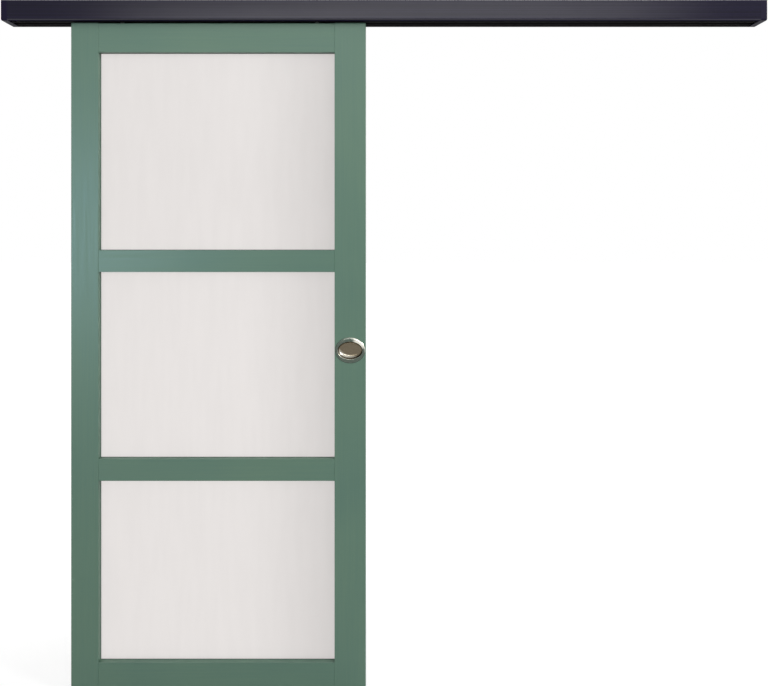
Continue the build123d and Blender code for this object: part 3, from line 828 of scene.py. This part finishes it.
def edit_points(piece, chosen):
    """Opens a piece in edit mode with only the corners selected that pass the test."""
    select_only(piece)
    for polygon in piece.data.polygons:
        polygon.select = False
    for edge in piece.data.edges:
        edge.select = False
    for vertex in piece.data.vertices:
        vertex.select = chosen(vertex.co)
    bpy.ops.object.mode_set(mode="EDIT")
    bpy.ops.mesh.select_mode(type="VERT")


def edit_edges(piece, chosen):
    """Opens a piece in edit mode with only the edges selected whose two ends pass the test."""
    edit_points(piece, every_point)
    bpy.ops.mesh.select_mode(type="EDGE")
    bpy.ops.mesh.select_all(action="DESELECT")
    bpy.ops.object.mode_set(mode="OBJECT")
    for edge in piece.data.edges:
        edge.select = chosen(*(piece.data.vertices[index].co for index in edge.vertices))
    bpy.ops.object.mode_set(mode="EDIT")


def leave_edit_mode():
    """Writes the changes of edit mode back to the piece."""
    bpy.ops.object.mode_set(mode="OBJECT")


print("selection helpers ready")


# %% Helpers for shaping
def face_outwards(piece):
    """Turns all faces of a piece outwards."""
    edit_points(piece, every_point)
    bpy.ops.mesh.select_all(action="SELECT")
    bpy.ops.mesh.normals_make_consistent(inside=False)
    leave_edit_mode()


def cut_by(piece, tool, operation):
    """Cuts a piece by a tool, or keeps only what both share, and removes the tool."""
    select_only(piece)
    cut = piece.modifiers.new("cut", "BOOLEAN")
    cut.operation = operation
    cut.solver = "EXACT"
    cut.object = tool
    bpy.ops.object.modifier_apply(modifier=cut.name)
    bpy.data.objects.remove(tool)


def place_origin(piece):
    """Moves a piece's place from the object to its mesh, and leaves the object at the origin."""
    select_only(piece)
    bpy.ops.object.transform_apply(location=True, rotation=True, scale=True)


def smooth(piece, angle):
    """Shades a piece smooth, and keeps edges sharper than this many degrees."""
    select_only(piece)
    bpy.ops.object.shade_smooth_by_angle(angle=math.radians(angle))


def copy_to(piece, place, turn=0.0):
    """A copy with its own mesh, set at a place and turned by some degrees, seen from above."""
    copy = piece.copy()
    copy.data = piece.data.copy()
    copy.location = place
    copy.rotation_euler = (0, 0, math.radians(turn))
    bpy.context.scene.collection.objects.link(copy)
    return copy


def joined(pieces, name):
    """One piece made of several."""
    select_only(*pieces)
    bpy.ops.object.join()
    whole = bpy.context.object
    whole.name = name
    return whole


print("modelling helpers ready")

# %% [markdown]
# ## A wood screw with a cross recess
# Eight countersunk screws hold the hanger plates to the top rail. The solids have them with plain
# heads. A real head is punched with a cross, whose arms narrow as they go down, and that cross is
# what the eye looks for. The body could be a profile spun round its axis. Pulling one round outline
# down in steps and narrowing it at each is quicker and gives the same form. The cross is cut with
# two tapered bars.

# %% The screw's body
head_radius = 0.0043
head_height = 0.0024
shank_radius = 0.00225
screw_length = 0.035
tip_length = 0.005
tip_sharpness = 0.05
screw_corners = 40
steps_down = [
    (head_height, shank_radius / head_radius),
    (screw_length - tip_length - head_height, 1.0),
    (tip_length, tip_sharpness),
]

deselect_all()
bpy.ops.mesh.primitive_circle_add(vertices=screw_corners, radius=head_radius, fill_type="NGON")
wood_screw = bpy.context.object
edit_points(wood_screw, every_point)
depth = 0.0
for drop, narrower in steps_down:
    depth += drop
    bpy.ops.mesh.extrude_region_move(TRANSFORM_OT_translate={"value": (0, 0, -drop)})
    bpy.ops.transform.resize(value=(narrower, narrower, 1), center_override=(0, 0, -depth))
leave_edit_mode()
face_outwards(wood_screw)
print("screw:", len(wood_screw.data.vertices), "corners,", round(depth, 4), "long")

# %% The cross in its head
cross_length = 0.0050
cross_width = 0.0011
cross_depth = 0.0020
cross_taper = 0.45

for turn in (0, quarter_turn):
    deselect_all()
    bpy.ops.mesh.primitive_cube_add(size=1, location=(0, 0, 0))
    cross_bar = bpy.context.object
    cross_bar.scale = (cross_length, cross_width, 2 * cross_depth)
    cross_bar.rotation_euler = (0, 0, turn)
    place_origin(cross_bar)
    edit_points(cross_bar, lambda point: point.z < 0)
    bpy.ops.transform.resize(
        value=(cross_taper, cross_taper, 1), center_override=(0, 0, -cross_depth)
    )
    leave_edit_mode()
    cut_by(wood_screw, cross_bar, "DIFFERENCE")
print("screw with its cross:", len(wood_screw.data.vertices), "corners")

# %% [markdown]
# ## Eight screws in their plates
# The row of screws is worked out from the plates: each plate has four, and the outermost heads give
# the spacing. Nobody stops every screw at the same angle, so each copy is turned a little further.
# An array modifier could repeat the screw, but it would turn them all alike.

# %% Place the screws
sides = ("left", "right")
screws_low, screws_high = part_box("plate_screws")
plate_boxes = [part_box(f"hanger_plate_{side}") for side in sides]
plate_centres = [(low.x + high.x) / 2 for low, high in plate_boxes]
row_reach = plate_centres[0] - screws_low.x - head_radius
line_depths = (screws_low.y + head_radius, screws_high.y - head_radius)
turn_each = 37
screw_crease = 30

placed = []
for centre in plate_centres:
    for along in (centre - row_reach, centre + row_reach):
        for line_depth in line_depths:
            place = (along, line_depth, screws_high.z)
            placed.append(copy_to(wood_screw, place, turn_each * len(placed)))
bpy.data.objects.remove(wood_screw)
screws = joined(placed, "plate_screws_dressed")
place_origin(screws)
smooth(screws, screw_crease)
screws.data.materials.append(zinc_steel)
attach(screws, "leaf")
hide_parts("plate_screws")
print("screws:", len(placed), "spacing along the rail:", round(2 * row_reach, 4))

# %% [markdown]
# ## Lock nuts with turned corners
# A nut is cut from a hexagonal bar, and its corners are turned away on both faces, which leaves the
# bright curved scallops that tell a nut from a plain hexagon. A bevel of the hexagon's own edges
# would cut them straight. So the hexagon is kept only where a disc with sloping rims also is, and
# then bored.

# %% One lock nut
nuts_low, nuts_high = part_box("lock_nuts")
nut_height = nuts_high.z - nuts_low.z
nut_flats = nuts_high.y - nuts_low.y
nut_corner_radius = nut_flats / math.sqrt(3)
nut_slope = 0.0011
nut_sides = 6
disc_spare = 0.00005
disc_corners = 72
bolt_radius = 0.004
bore_clearance = 0.00005
bore_corners = 48
level_within = 1e-6

deselect_all()
bpy.ops.mesh.primitive_cylinder_add(
    vertices=nut_sides, radius=nut_corner_radius, depth=nut_height
)
nut = bpy.context.object
nut.rotation_euler = (0, 0, quarter_turn)
place_origin(nut)

deselect_all()
bpy.ops.mesh.primitive_cylinder_add(
    vertices=disc_corners, radius=nut_corner_radius + disc_spare, depth=nut_height
)
turned_disc = bpy.context.object
edit_edges(turned_disc, lambda start, end: abs(start.z - end.z) < level_within)
bpy.ops.mesh.bevel(offset=nut_slope, offset_type="OFFSET", segments=1)
leave_edit_mode()
cut_by(nut, turned_disc, "INTERSECT")

deselect_all()
bpy.ops.mesh.primitive_cylinder_add(
    vertices=bore_corners, radius=bolt_radius + bore_clearance, depth=2 * nut_height
)
cut_by(nut, bpy.context.object, "DIFFERENCE")
print("nut:", len(nut.data.vertices), "corners, across flats:", round(nut_flats, 4))

# %% Place the nuts
bolt_low, bolt_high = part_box("hanger_bolt_left")
bolt_depth = (bolt_low.y + bolt_high.y) / 2
nut_middle = (nuts_low.z + nuts_high.z) / 2
nut_crease = 25

nuts = [copy_to(nut, (centre, bolt_depth, nut_middle)) for centre in plate_centres]
bpy.data.objects.remove(nut)
dressed_nuts = joined(nuts, "lock_nuts_dressed")
place_origin(dressed_nuts)
smooth(dressed_nuts, nut_crease)
dressed_nuts.data.materials.append(zinc_steel)
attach(dressed_nuts, "leaf")
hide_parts("lock_nuts")
print("nuts:", len(nuts), "middle at height:", round(nut_middle, 4))

# %% [markdown]
# ## The bolts' threads
# Between its nut and the carriage each hanger bolt is bare, and its thread shows. Relief in the
# material would leave the bolt's outline smooth, so the thread is modelled. It is a small ridge
# carried round and up at once: a three-cornered outline goes through a screw modifier, which turns
# it and lifts it by one pitch per turn.

# %% Bolt threads
thread_pitch = 0.00125
thread_height = 0.0004
sunk_in = 0.0001
ridge_corners = 3
points_per_turn = 32
thread_crease = 30
carriage_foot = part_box("carriage_left")[0].z
bare_low = nuts_high.z + thread_pitch / 2
bare_high = carriage_foot - thread_pitch / 2
turns = int((bare_high - bare_low) / thread_pitch)

deselect_all()
bpy.ops.mesh.primitive_circle_add(vertices=ridge_corners, radius=thread_height)
ridge = bpy.context.object
edit_points(ridge, every_point)
bpy.ops.transform.rotate(value=quarter_turn, orient_axis="X", center_override=(0, 0, 0))
bpy.ops.transform.translate(value=(bolt_radius - sunk_in, 0, 0))
leave_edit_mode()
winding = ridge.modifiers.new("winding", "SCREW")
winding.axis = "Z"
winding.steps = points_per_turn
winding.render_steps = points_per_turn
winding.screw_offset = thread_pitch
winding.iterations = turns
bpy.ops.object.modifier_apply(modifier=winding.name)
face_outwards(ridge)
smooth(ridge, thread_crease)
ridge.data.materials.append(zinc_steel)

for side, centre in zip(sides, plate_centres):
    thread = copy_to(ridge, (centre, bolt_depth, bare_low))
    thread.name = f"bolt_thread_{side}"
    place_origin(thread)
    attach(thread, "leaf")
bpy.data.objects.remove(ridge)
thread_top = bare_low + turns * thread_pitch
print("thread turns:", turns, "from", round(bare_low, 4), "to", round(thread_top, 4))
